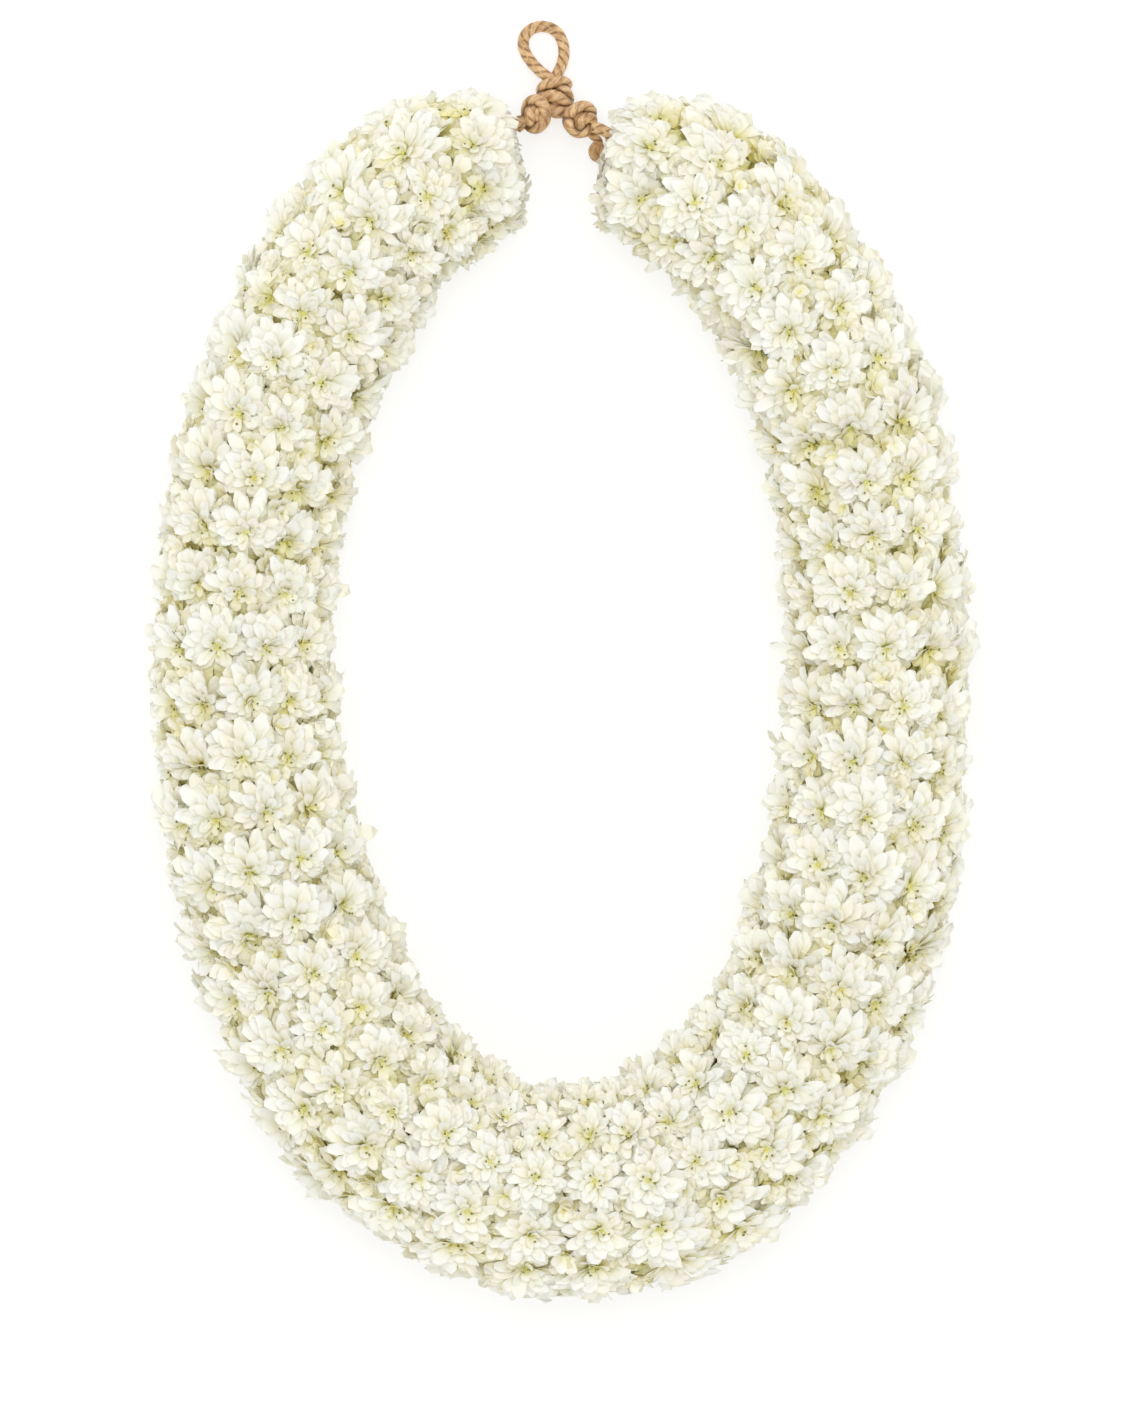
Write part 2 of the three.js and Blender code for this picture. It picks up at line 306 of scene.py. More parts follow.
def waxed_cord_finish(name, light, middle, dark, groove_shade, gloss):
    """Twisted fibres under wax: fine streaks that run with the strands, with painted shade in the grooves
    between strands, and painted contact shade with some dirt where another turn of the cord lies against
    them."""
    material, tree = bare_material(name)
    turn = kept_value(tree, "strand_turn")
    across = calculated(tree, "MULTIPLY", turn, FIBRES_ROUND)
    along = calculated(tree, "MULTIPLY", kept_value(tree, "strand_run"), FIBRES_ALONG)
    place = new_node(tree, "ShaderNodeCombineXYZ", {0: across, 1: along}).outputs[0]
    fibres = noise(tree, scale=4.2, detail=4.0, roughness=0.62, place=place)
    patches = noise(tree, scale=260.0, detail=2.0)
    within_strand = calculated(tree, "FRACT", calculated(tree, "MULTIPLY", turn, float(STRANDS)))
    off_middle = calculated(tree, "ABSOLUTE", calculated(tree, "SUBTRACT", within_strand, 0.5))
    # Painted groove shade: a darker tint near the edge of each strand.
    groove = new_node(
        tree, "ShaderNodeMapRange", {"Value": off_middle, "From Min": GROOVE_SHADE_FROM, "From Max": GROOVE_SHADE_TO},
        interpolation_type="SMOOTHSTEP",
    ).outputs[0]
    tone = calculated(tree, "ADD", fibres, calculated(tree, "MULTIPLY", patches, PATCHES_SHARE))
    colour = colour_ramp(tree, tone, [(0.58, dark), (0.74, middle), (0.93, light)])
    # The painted groove shade darkens the colour here.
    colour = tinted(tree, groove, colour, (*groove_shade, 1))
    # Painted contact shade, with some dirt, where another turn of the cord lies close.
    colour = tinted(tree, kept_value(tree, "cord_crease"), colour, CREASE_SHADE_AND_DIRT_COLOUR)
    shade(tree, {"Base Color": colour, "Normal": bumped(tree, fibres, 0.45), "Roughness": gloss,
                 "Coat Weight": 0.30, "Coat Roughness": 0.28})
    return material


waxed_cord = waxed_cord_finish(
    "waxed_cord", (0.90, 0.63, 0.34), (0.65, 0.40, 0.18), (0.34, 0.18, 0.07), (0.44, 0.33, 0.23), 0.42
)

# Each leg goes on a little way into the knot, in the direction in which it reaches it.
loop_points = np.array(LOOP_ROUTE)
first_leg = loop_points[0] + unit(loop_points[0] - loop_points[1]) * INTO_KNOT
last_leg = loop_points[-1] + unit(loop_points[-1] - loop_points[-2]) * INTO_KNOT
loop_path = even_path(np.vstack([first_leg, loop_points, last_leg]), CORD_STEP)
hanging_loop = cord_piece(
    "loop_of_laid_cord", "hanging_loop", [laid_cord(loop_path, UPWARD, CORD_RADIUS)], waxed_cord
)


# The main knot is where both cord ends and both legs of the loop are drawn together: a collar
# under the legs, a broad band round the middle, a narrower one below, and a wrap at the right.
KNOT_STEP = 0.7
KNOT_SIDES = 20
KNOT_LAY_LENGTH = 12.0
KNOT_CREASE_DEPTH = 0.05
# How far from another turn of cord the painted contact shade reaches.
CONTACT_SHADE_REACH = 0.65
BALL_SIDES = 12
BALL_CIRCLES = 9
BALL_LAST_CIRCLE = 0.94
BALL_HALF_LENGTH = 5.0
BALL_RADIUS = 3.9
knotted_cord = waxed_cord_finish(
    "knotted_cord", (0.92, 0.64, 0.35), (0.62, 0.38, 0.175), (0.32, 0.17, 0.07), (0.62, 0.51, 0.40), 0.40
)
MAIN_KNOT_MIDDLE = (-1.8, 244.0, 6.9)
MAIN_KNOT_BANDS = (
    (2.4, True, ((3.0, 250.3, -0.4), (1.6, 251.2, 2.2), (-1.2, 251.1, 3.5), (-4.6, 250.4, 3.3),
                 (-6.8, 248.9, 1.8), (-7.4, 247.4, -0.6), (-5.8, 247.0, -3.2), (-1.6, 248.4, -4.2),
                 (1.8, 249.5, -3.0))),
    (2.2, False, ((-1.6, 249.5, 0.4), (0.7, 248.6, 3.0), (2.6, 247.1, 3.2), (3.7, 245.2, 1.8),
                  (3.8, 243.6, -0.8), (2.0, 243.3, -3.4))),
    (2.7, True, ((-7.4, 244.4, -0.8), (-6.5, 245.2, 1.8), (-3.9, 245.4, 3.6), (-0.7, 245.0, 4.0),
                 (1.8, 243.6, 3.1), (3.2, 242.0, 1.0), (2.9, 241.6, -1.6), (-0.4, 242.9, -3.9),
                 (-4.8, 243.8, -3.3))),
    (2.7, True, ((-5.9, 242.0, -0.6), (-4.6, 240.3, 2.2), (-2.0, 238.8, 3.3), (0.7, 238.8, 3.1),
                 (2.9, 240.2, 1.5), (3.1, 241.3, -1.0), (0.4, 239.9, -3.3), (-3.4, 240.3, -3.1))),
)


def contact_shade_share(points, others):
    """How much painted contact shade, with some dirt, points get by how near they lie to other turns of
    cord, each a path and a radius: one at their surface or inside them, and less by a bell curve of the
    distance from it."""
    gaps = [np.linalg.norm(points[:, None] - path[None], axis=2).min(1) - radius
            for path, radius in others]
    return np.exp(-((np.maximum(np.min(gaps, axis=0), 0) / CONTACT_SHADE_REACH) ** 2))


def knot_bands(middle, bands):
    """One skin for each band, a cord that lies round the knot's middle, and one for the ball that
    fills the knot: circles whose radius is the root of one less the square of their place.
    Heights in the bands are measured from the knot's middle."""
    middle = np.array(middle)
    turns = []
    for radius, closed, route in bands:
        route = np.array(route) + [0, 0, middle[2]]
        path = closed_path(route, KNOT_STEP) if closed else even_path(route, KNOT_STEP)
        turns.append((path, radius))
    skins = []
    for number, (path, radius) in enumerate(turns):
        skin = laid_cord(path, unit(path - middle), radius, KNOT_SIDES, KNOT_LAY_LENGTH,
                         bands[number][1], KNOT_CREASE_DEPTH)
        # Each band gets painted contact shade, with some dirt, where it lies near the other bands.
        skin[2][:, 2] = contact_shade_share(skin[0], turns[:number] + turns[number + 1:])
        skins.append(skin)
    place = np.linspace(-BALL_LAST_CIRCLE, BALL_LAST_CIRCLE, BALL_CIRCLES)
    path = middle + place[:, None] * np.array([0, BALL_HALF_LENGTH, 0])
    radii = BALL_RADIUS * np.sqrt(1 - place**2)
    skins.append(laid_cord(path, UPWARD, radii, BALL_SIDES))
    return skins


main_knot = cord_piece(
    "main_knot_of_cord", "main_knot", knot_bands(MAIN_KNOT_MIDDLE, MAIN_KNOT_BANDS), knotted_cord
)


# The left knot is an overhand knot in the cord end: one broad turn lies over it like a C, and the
# cord comes up through that turn and goes under it again.
LEFT_KNOT_MIDDLE = (-9.6, 237.5, 18.9)
LEFT_KNOT_BANDS = (
    (2.6, True, ((-13.2, 237.1, -1.8), (-13.3, 239.7, 0.4), (-12.3, 242.0, 1.8), (-9.8, 243.1, 2.5),
                 (-7.3, 241.9, 2.7), (-6.1, 239.0, 2.6), (-6.1, 235.7, 2.4), (-7.5, 233.0, 2.0),
                 (-10.0, 231.8, 1.2), (-12.2, 232.8, -0.6), (-12.9, 234.7, -2.2))),
    (2.5, False, ((-8.2, 241.3, -0.8), (-10.8, 241.0, 1.4), (-12.1, 238.8, 2.4),
                  (-12.0, 236.2, 2.5), (-11.6, 233.8, 1.6), (-10.6, 232.0, -1.2))),
    (2.5, False, ((-8.9, 243.1, 0.2), (-7.6, 241.3, -2.8), (-8.2, 237.3, -4.0),
                  (-9.6, 233.5, -3.2), (-9.2, 231.5, -0.4))),
    (2.4, False, ((-12.6, 241.1, -0.4), (-11.6, 239.3, -3.0), (-11.2, 235.7, -3.2),
                  (-12.0, 233.1, -0.6))),
)
left_knot = cord_piece(
    "left_knot_of_cord", "left_knot", knot_bands(LEFT_KNOT_MIDDLE, LEFT_KNOT_BANDS), knotted_cord
)


# The right knot is the same overhand knot seen from its other side: two turns slant up to the
# right, and a third comes round below them.
RIGHT_KNOT_MIDDLE = (8.6, 235.6, 17.0)
RIGHT_KNOT_BANDS = (
    (2.5, True, ((3.8, 233.4, -1.6), (3.6, 235.7, 1.0), (5.2, 238.4, 2.5), (7.8, 240.2, 2.7),
                 (10.5, 240.6, 2.3), (12.6, 239.2, 1.0), (12.8, 237.6, -1.4), (10.4, 237.0, -3.6),
                 (7.0, 236.2, -3.9), (4.6, 234.0, -3.2))),
    (2.45, False, ((6.6, 230.6, -1.2), (7.8, 232.4, 2.1), (9.5, 234.9, 3.2), (11.6, 236.3, 2.8),
                   (13.2, 235.4, 1.0), (12.9, 233.4, -1.8))),
    (2.45, False, ((3.9, 236.8, -0.6), (3.9, 234.3, 2.0), (4.9, 231.7, 2.3), (7.1, 230.1, 1.6),
                   (9.8, 230.2, 1.2), (11.8, 232.0, 0.4), (12.2, 234.4, -1.8))),
    (2.4, False, ((6.2, 239.4, -0.8), (5.8, 236.8, -3.2), (7.6, 233.0, -3.4), (10.2, 231.4, -1.2))),
    (2.4, False, ((12.2, 238.4, -1.2), (10.8, 235.0, -3.4), (8.2, 231.6, -2.2))),
)
right_knot = cord_piece(
    "right_knot_of_cord", "right_knot", knot_bands(RIGHT_KNOT_MIDDLE, RIGHT_KNOT_BANDS), knotted_cord
)


# Below each side knot the end of the same cord shows. The left one is a short thin stump; the
# right one runs down to a tail knot, dipped in wax so that it is smooth and shines.
LEFT_END_ROUTE = ((-12.4, 234.2, 16.4), (-14.6, 233.1, 15.6), (-16.0, 232.2, 14.8), (-17.0, 231.3, 14.2))
RIGHT_END_ROUTE = ((10.8, 231.8, 14.6), (12.6, 230.2, 13.2), (14.6, 228.3, 11.4), (16.2, 226.6, 9.6),
                   (16.6, 225.5, 8.4))
TAIL_TURN_ROUTE = ((16.8, 225.5, 8.2), (15.1, 224.6, 8.6), (14.2, 222.8, 8.2), (14.5, 220.8, 7.6),
                   (15.5, 219.3, 7.0), (16.3, 218.5, 6.6))
TAIL_TURN_RADII = (1.6, 2.2, 2.4, 2.3, 1.8, 0.8)
TAIL_FOLD_ROUTE = ((15.8, 225.4, 7.4), (17.1, 224.4, 7.8), (17.1, 222.5, 7.2), (16.5, 220.4, 6.8),
                   (16.2, 218.8, 6.4))
TAIL_FOLD_RADII = (1.4, 1.6, 1.6, 1.3, 0.7)
DIPPED_LAY = 40.0
CORD_END_STEP = 0.5


def cord_end(route, radii, away_from, **twist):
    """Skin of a short cord whose radius runs evenly from one given value to the next along its
    route. Its rows start on the side that faces away from a point."""
    path = even_path(route, CORD_END_STEP)
    share = np.linspace(0, 1, len(path))
    radius = np.interp(share, np.linspace(0, 1, len(radii)), radii)
    facing = unit(path - np.array(away_from))
    return laid_cord(path, facing, radius, KNOT_SIDES, **twist)


left_end = cord_piece(
    "left_end_of_cord", "left_tail",
    [cord_end(LEFT_END_ROUTE, (1.7, 1.7, 1.6, 1.5), (-14, 233, 4))], waxed_cord,
)
right_end = cord_piece(
    "right_end_of_cord", "right_tail",
    [cord_end(RIGHT_END_ROUTE, (2.1, 2.1, 2.0, 1.8, 1.5), (10, 222, 0))], waxed_cord,
)
dipped_cord = waxed_cord_finish(
    "dipped_cord", (0.78, 0.52, 0.28), (0.60, 0.37, 0.17), (0.38, 0.21, 0.09), (0.72, 0.62, 0.52), 0.20
)
tail_knot = cord_piece(
    "tail_knot_of_cord", "tail_knot",
    [cord_end(TAIL_TURN_ROUTE, TAIL_TURN_RADII, (16, 221, 0), lay=DIPPED_LAY, groove_depth=0.0),
     cord_end(TAIL_FOLD_ROUTE, TAIL_FOLD_RADII, (15, 221, 0), lay=DIPPED_LAY, groove_depth=0.0)],
    dipped_cord,
)


# The rope of flowers follows one smooth line from the tie down the left side and up the right
# side. It is fullest at the bottom, drawn in beside the tie and pressed flat underneath.
RING_COUNT = 46
BLOOM_WIDTH = 24.5
ROPE_ROUTE = (
    (-22, 217, 0), (-50, 209, 0), (-79, 185, 0), (-112, 123, 0), (-128, 54, 0),
    (-128, -18, 0), (-114, -88, 0), (-85, -154, 0), (-31, -199, 0),
    (38, -200, 0), (91, -153, 0), (119, -88, 0), (129, -17, 0),
    (128, 54, 0), (114, 125, 0), (80, 185, 0), (51, 208, 0), (24, 215, 0),
)
ROUTE_STEPS = 960
SHOULDER_RADIUS = 36.5
FULLER_AT_BOTTOM = 7.0
END_RADIUS_SHARE = 0.68
END_TAPER_LENGTH = 30.0
FLATTENED_UNDERNEATH = 3.5
VALLEY_SHARE = 0.74
BLOOM_SHIFT = 2.6
BLOOM_OVERHANG = 0.34
PRESSED_BELOW_COSINE = -0.55
UPRIGHT_ABOVE_COSINE = -0.1

route_shares = np.linspace(0, 1, ROUTE_STEPS + 1)
route_run = way_along(through_points(ROPE_ROUTE, route_shares))
rope_length = route_run[-1]
ring_pitch = rope_length / RING_COUNT


def rope_radius(along):
    """Radius over the petal tips: the shoulder's, more by the fourth power of a sine that peaks
    at the bottom, less by the square of the nearness to an end."""
    from_end = np.maximum(0, np.minimum(along, rope_length - along))
    fullness = np.sin(np.pi * from_end / rope_length) ** 4
    taper = np.maximum(0, 1 - from_end / END_TAPER_LENGTH) ** 2
    return (SHOULDER_RADIUS + FULLER_AT_BOTTOM * fullness) * (1 - (1 - END_RADIUS_SHARE) * taper)


def rope_frame(along):
    """The rope's middle, its direction and the direction across it, at distances along it."""
    along = np.asarray(along, float)
    inside = np.clip(along, 0, rope_length)
    share = np.interp(inside, route_run, route_shares)
    near = 1e-4
    ahead = unit(
        through_points(ROPE_ROUTE, np.minimum(share + near, 1))
        - through_points(ROPE_ROUTE, np.maximum(share - near, 0))
    )
    middle = through_points(ROPE_ROUTE, share) + ahead * (along - inside)[..., None]
    middle[..., 2] = rope_radius(inside) - FLATTENED_UNDERNEATH
    across = np.stack([-ahead[..., 1], ahead[..., 0], np.zeros_like(along)], -1)
    return middle, ahead, across


def smooth_step(value, low, high):
    """Nought up to low and one from high. Between them, with the share of the way from low to
    high, it is three times the share squared less twice its cube."""
    share = np.clip((value - low) / (high - low), 0, 1)
    return share * share * (3 - 2 * share)


def uphill(along, around):
    """How much of a step along the rope goes up the lei, and less of it for blooms underneath."""
    free = smooth_step(np.cos(around), PRESSED_BELOW_COSINE, UPRIGHT_ABOVE_COSINE)
    return rope_frame(along)[1][..., 1] * free


def turned(first, second, angle):
    """Two directions, both turned by an angle in their plane, the second towards the first."""
    cosine, sine = np.cos(angle)[..., None], np.sin(angle)[..., None]
    return first * cosine - second * sine, second * cosine + first * sine


def on_rope(along, around, radius):
    """A point at an angle from straight up round the rope, and the directions there along the
    rope, round it and out of it. Past the valleys the blooms lean up the lei."""
    lean = BLOOM_OVERHANG * uphill(along, around)
    proud = np.maximum(0, radius - VALLEY_SHARE * rope_radius(along))
    middle, ahead, across = rope_frame(along + lean * proud)
    side, out = turned(across, UPWARD, around)
    return middle + out * radius[..., None], ahead, side, out


# The stringing cord runs through the middle of every ring. It comes out of the middle of each end
# and turns up to its side knot between the last blooms, so that only a short length is bare.
CORE_SIDES = 16
HIDDEN_STEP = 6.0
CORE_LEFT_END = ((-13.6, 234.7, 19.0), (-16.4, 234.6, 19.0), (-18.9, 233.4, 18.9), (-20.2, 230.4, 19.0),
                 (-20.0, 226.4, 19.6), (-19.6, 222.6, 20.4), (-20.2, 219.2, 21.0))
CORE_RIGHT_END = ((21.8, 217.6, 21.0), (21.4, 221.4, 20.2), (21.9, 225.6, 19.3), (20.4, 229.2, 18.8),
                  (17.2, 231.2, 18.2), (13.4, 232.4, 17.6))
ring_edges = rope_frame(np.arange(RING_COUNT + 1) * ring_pitch)[0]
hidden = even_path(ring_edges, HIDDEN_STEP)
core_path = np.vstack([
    even_path(np.vstack([CORE_LEFT_END, hidden[:1]]), CORD_STEP)[:-1],
    hidden,
    even_path(np.vstack([hidden[-1:], CORE_RIGHT_END]), CORD_STEP)[1:],
])
cord_piece(
    "stringing_cord", "core_cord", [laid_cord(core_path, UPWARD, CORD_RADIUS, CORE_SIDES)], waxed_cord
)


# One petal is a thin closed leaf: narrow at its foot, broad and frilled at its notched end,
# hollowed along its middle and bent over its length. Each layer of petals of a whole ring of
# blooms is worked out at once.
PETAL_ROWS = 3
PETAL_COLUMNS = 2
PETAL_THICKNESS = 0.30
CLOSER_AT_TIP = 1.25
FOOT_WIDTH = 0.17
WIDENING = 1.25
BROADEST_PLACE = 0.78
NOTCH_SPREAD = 0.3
CREASE_LINE_SPREAD = 0.35
HOLLOW_LEVEL = 0.3
FRILL_ALONG = 5.0
FRILL_ACROSS = 2.7
LEAST_TURN = 1e-3


def leaf_grid(rows, columns):
    """Faces of one petal, and which of its points are on its border. The front and the back are
    grids that share it, and the inner points of the back follow all those of the front."""
    number = np.arange((rows + 1) * (columns + 1)).reshape(rows + 1, columns + 1)
    back = number.copy()
    back[1:-1, 1:-1] = number.size + np.arange((rows - 1) * (columns - 1)).reshape(rows - 1, -1)
    front_faces = np.stack([number[:-1, :-1], number[1:, :-1], number[1:, 1:], number[:-1, 1:]], -1)
    back_faces = np.stack([back[:-1, :-1], back[:-1, 1:], back[1:, 1:], back[1:, :-1]], -1)
    border = np.ones((rows + 1, columns + 1), bool)
    border[1:-1, 1:-1] = False
    inner = np.zeros((rows - 1) * (columns - 1), bool)
    faces = np.vstack([front_faces.reshape(-1, 4), back_faces.reshape(-1, 4)])
    return faces, np.concatenate([border.reshape(-1), inner])


def leaf_places(rows, columns):
    """Share of the length and of the half width at each point, and which points are behind. The
    rows lie closer together at the tip: one less a power of what is left of the way to it."""
    length = 1 - (1 - np.linspace(0, 1, rows + 1)) ** CLOSER_AT_TIP
    width = np.linspace(-1, 1, columns + 1)
    v, u = np.meshgrid(length, width, indexing="ij")
    v = np.concatenate([v.reshape(-1), v[1:-1, 1:-1].reshape(-1)])
    u = np.concatenate([u.reshape(-1), u[1:-1, 1:-1].reshape(-1)])
    behind = np.zeros(v.size)
    behind[(rows + 1) * (columns + 1):] = 1
    return v, u, behind


petal_faces, petal_border = leaf_grid(PETAL_ROWS, PETAL_COLUMNS)
petal_v, petal_u, petal_behind = leaf_places(PETAL_ROWS, PETAL_COLUMNS)


def petal_points(shape):
    """Points of petals in their bloom's own frame: along the rope, round it, and out of it.
    The petal leaves its foot at the angle rise and turns evenly to the angle droop at its tip, so
    its line is an arc. Its half width grows as a power of a sine up to its broadest place and
    shrinks as a square beyond it, and its end is notched in the middle. Across the width it is
    hollowed by the square of the distance from its middle, creased along the middle, rolled about
    its line and frilled by a wave that grows towards its end."""
    s = {key: np.asarray(value)[..., None] for key, value in shape.items()}
    u, v = petal_u, petal_v
    grown = np.sin(np.pi / 2 * np.minimum(1, v / BROADEST_PLACE)) ** WIDENING
    beyond = np.clip((v - BROADEST_PLACE) / (1 - BROADEST_PLACE), 0, 1)
    outline = FOOT_WIDTH + (1 - FOOT_WIDTH) * grown - s["tip_drawn_in"] * beyond**2
    notch = s["notch"] * np.exp(-((u / NOTCH_SPREAD) ** 2)) * v**8
    v = v * (1 - s["tip_round"] * u**2 * v**4) - notch
    turn = s["droop"] - s["rise"]
    turn = np.where(np.abs(turn) < LEAST_TURN, LEAST_TURN, turn)
    angle = s["rise"] + turn * v
    away = s["foot"] + s["length"] * (np.sin(angle) - np.sin(s["rise"])) / turn
    height = s["foot_height"] + s["length"] * (np.cos(s["rise"]) - np.cos(angle)) / turn
    beside = 0.5 * s["width"] * outline * u
    wave = np.sin(FRILL_ALONG * v + s["wave_start"] + FRILL_ACROSS * u) * v**2
    lift = s["width"] * (
        s["cup"] * (u**2 - HOLLOW_LEVEL) * outline
        - s["crease"] * np.exp(-((u / CREASE_LINE_SPREAD) ** 2)) * v
        + s["wave"] * wave
    )
    lift = lift + s["roll"] * beside - PETAL_THICKNESS * petal_behind
    away = away - np.sin(angle) * lift
    height = height + np.cos(angle) * lift
    cosine, sine = np.cos(s["azimuth"]), np.sin(s["azimuth"])
    return np.stack([away * cosine - beside * sine, away * sine + beside * cosine, height], -1)


# Each bloom is a small domed double flower of sixty-two narrow frilled petals: a drooping skirt,
# three full layers, a shorter one and a few loose petals round the heart. It faces a little down
# the lei, so that its upper petals fan out and its lower ones fall into the gap below.
HEART_DEPTH = 7.4
DEPTH_LIMITS = (-1.2, 1.8)
DEEPER_AT_SIDES = 3.4
BOTTOM_PROUD = 1.0
RIGHT_CORNER_IN = 8.0
RIGHT_CORNER_RINGS = 1.5
BLOOM_TILT = 0.34
BLOOM_FULLNESS = 1.07
BLOOM_UPTURN = 0.50
SPREAD_BY_ROOM = 0.85
DRAWN_IN_BY_ROOM = 0.55
ASTRAY_ALONG = 0.8
ASTRAY_ROUND = 0.9
ASTRAY_DEEP = 0.9
ASTRAY_TILT = 0.13
BLOOM_SIZE_SPREAD = 0.05
FULL_REACH_LENGTH = 14.0
LEAST_REACH = 0.4
WIDER_ABOVE = 0.05
ROLLED = 0.2
ROLLED_AT_SIDES = 0.32
AZIMUTH_SPREAD = 0.24
PETAL_SIZE_SPREAD = 0.08
RISE_SPREAD = 0.07
CUP_SPREAD = 0.03
BLOOM_PETAL_EDGE = dict(
    wave=(0.04, 0.11), tip_drawn_in=(0.24, 0.40), tip_round=(0.04, 0.09), notch=(0.0, 0.06)
)

# One row for each layer, from the skirt to the heart, in millimetres and radians
LAYER_VALUES = (
    "count", "length", "width", "foot", "foot_height", "rise", "droop", "cup", "crease",
    "start", "reach_up", "droop_down", "creamy_tint_and_shade", "loose",
)
# The creamy value of a layer makes its petals creamier: partly their own colour, partly painted warm shade
# for the lower layers that lie under the others.
LAYERS = [dict(zip(LAYER_VALUES, values)) for values in (
    (10, 13.8, 5.6, 1.2, -0.9, 0.25, -0.95, 0.10, 0.05, 0.25, 0.06, 0.20, 0.25, 0.18),
    (13, 14.2, 5.4, 1.1, 0.0, 0.52, -0.62, 0.12, 0.05, 0.0, 0.12, 0.24, 0.10, 0.18),
    (13, 13.4, 5.1, 1.0, 0.4, 0.76, -0.36, 0.13, 0.05, 0.5, 0.15, 0.28, 0.0, 0.18),
    (12, 11.6, 4.8, 0.9, 0.7, 0.98, -0.10, 0.14, 0.05, 0.2, 0.16, 0.26, 0.0, 0.20),
    (9, 9.4, 4.2, 0.9, 1.0, 1.14, 0.20, 0.15, 0.04, 0.6, 0.16, 0.24, 0.0, 0.26),
    (5, 6.6, 3.4, 0.2, 1.4, 1.30, 0.25, 0.12, 0.0, 0.1, 0.0, 0.20, 0.0, 0.40),
)]
DRAW_SEED = 2026
DRAW_FACTOR = 16807
DRAW_MODULUS = 2147483647
PRESS_LEVEL = 2.6


def ring_blooms():
    """Where the blooms of each ring sit, by the same rule and the same draws as the solids: for
    each ring the place along the rope, the angles round it, and a drawn twist for each bloom."""
    state = DRAW_SEED
    rings = []
    for ring in range(RING_COUNT):
        middle = (ring + 0.5) * ring_pitch
        count = round(2 * np.pi * float(rope_radius(middle)) / BLOOM_WIDTH)
        draws = []
        for _ in range(count + 1):
            state = state * DRAW_FACTOR % DRAW_MODULUS
            draws.append(state / DRAW_MODULUS)
        first = draws[0] * 2 * np.pi / count
        around = first + 2 * np.pi / count * (np.arange(count) + 0.5)
        rings.append((middle, around, np.array(draws[1:])))
    return rings


def pressed_flat(points):
    """What would reach the table is pressed: below a level the height falls away exponentially,
    so that the petals keep their order and none goes through."""
    level = points[..., 2]
    low = PRESS_LEVEL * np.exp((np.minimum(level, PRESS_LEVEL) - PRESS_LEVEL) / PRESS_LEVEL)
    points[..., 2] = np.where(level < PRESS_LEVEL, low, level)
    return points


VEINS_ACROSS = 6.0


def petal_finish():
    """A thin, slightly waxy white petal: pale yellow green at the foot, a breath of cream or cool white
    from petal to petal, yellower and darker deep in the rope, partly as the flowers' own colour there and
    partly as painted warm shade, and fine veins along it."""
    material, tree = bare_material("white_petal")
    reach = kept_value(tree, "petal_reach")
    tone = kept_value(tree, "petal_tone")
    by_reach = colour_ramp(tree, reach, [
        (0.0, (0.76, 0.76, 0.28)),
        (0.12, (0.86, 0.845, 0.52)),
        (0.28, (0.935, 0.92, 0.74)),
        (0.55, (0.957, 0.947, 0.86)),
        (1.0, (0.963, 0.958, 0.91)),
    ])
    by_tone = colour_ramp(tree, tone, [
        (0.0, (0.98, 0.985, 1.0)),
        (0.35, (1.0, 1.0, 1.0)),
        (0.7, (1.0, 0.995, 0.96)),
        (1.0, (1.0, 0.975, 0.90)),
    ])
    # Painted warm shade, partly the flowers' own yellower colour deep inside: the deeper a petal lies, the
    # yellower and darker it is tinted.
    depth_tint_and_shade = colour_ramp(tree, kept_value(tree, "petal_deep"), [
        (0.10, (1.0, 1.0, 1.0)),
        (0.28, (1.0, 0.99, 0.90)),
        (0.48, (0.985, 0.955, 0.60)),
        (0.78, (0.92, 0.85, 0.28)),
    ])
    colour = tinted(tree, 1.0, tinted(tree, 1.0, by_reach, by_tone), depth_tint_and_shade)
    across = calculated(tree, "MULTIPLY", kept_value(tree, "petal_across"), VEINS_ACROSS)
    place = new_node(tree, "ShaderNodeCombineXYZ", {0: across, 1: reach, 2: tone}).outputs[0]
    veins = noise(tree, scale=1.6, detail=2.0, place=place)
    shade(tree, {
        "Base Color": colour, "Normal": bumped(tree, veins, 0.35), "Roughness": 0.55,
        "Subsurface Weight": 0.15, "Subsurface Radius": (1.0, 0.95, 0.7), "Subsurface Scale": 2 * MM,
        "Specular IOR Level": 0.35,
    })
    return material


def plain_finish(name, colour, other, scale, roughness):
    """A living surface of two close colours in soft patches."""
    material, tree = bare_material(name)
    patches = noise(tree, scale, detail=3.0)
    mixed = colour_ramp(tree, patches, [(0.35, colour), (0.65, other)])
    shade(tree, {"Base Color": mixed, "Roughness": roughness})
    return material


WHITE, YELLOW, OLIVE, GREEN = range(4)
bloom_finishes = [
    petal_finish(),
    plain_finish("yellow_heart", (0.80, 0.77, 0.33), (0.70, 0.68, 0.20), 900.0, 0.6),
    plain_finish("dark_stamen", (0.30, 0.29, 0.05), (0.19, 0.17, 0.03), 1500.0, 0.6),
    plain_finish("green_calyx", (0.62, 0.56, 0.20), (0.45, 0.40, 0.10), 420.0, 0.7),
]

